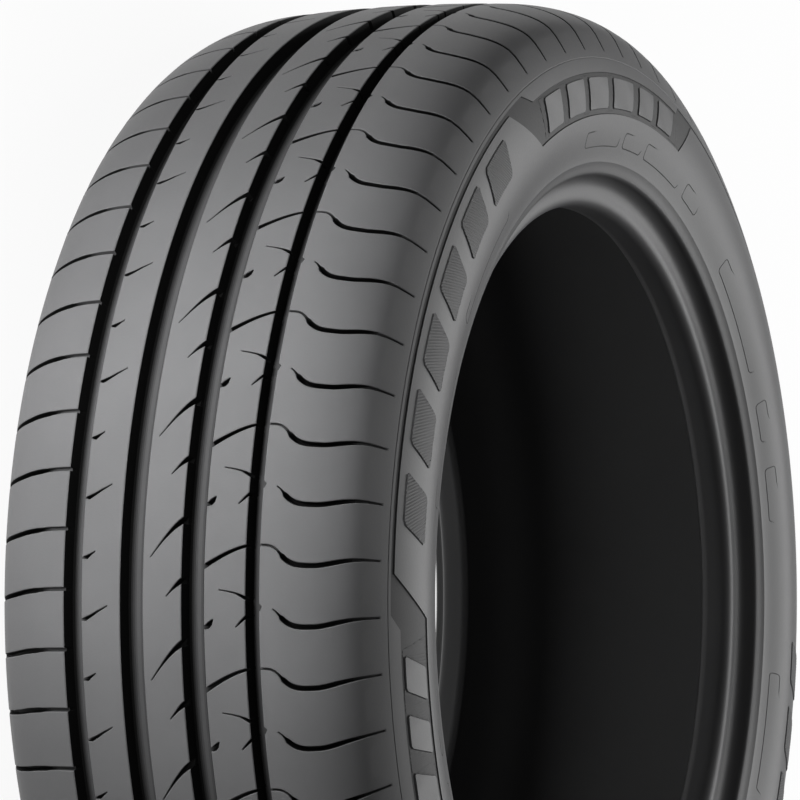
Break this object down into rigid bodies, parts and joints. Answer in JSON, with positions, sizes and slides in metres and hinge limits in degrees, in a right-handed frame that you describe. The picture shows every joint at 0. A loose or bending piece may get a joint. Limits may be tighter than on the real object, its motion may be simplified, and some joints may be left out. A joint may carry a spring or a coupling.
{
  "type": "car tyre",
  "caption": "Low-profile radial road tyre with grooves round the tread, slotted shoulders and moulded sidewalls, for a family car wheel.",
  "frame": {"origin": "centre of the tyre: on its axis, in the middle plane between the sidewalls", "axes": "+Z along the axis, out of the outer sidewall; the tyre lies on its inner sidewall"},
  "size_m": [0.6682, 0.6682, 0.231],
  "materials": {
    "tyre": "matte moulded rubber"
  },
  "bodies": {
    "root": {"tyre": "tyre"}
  },
  "joints": []
}
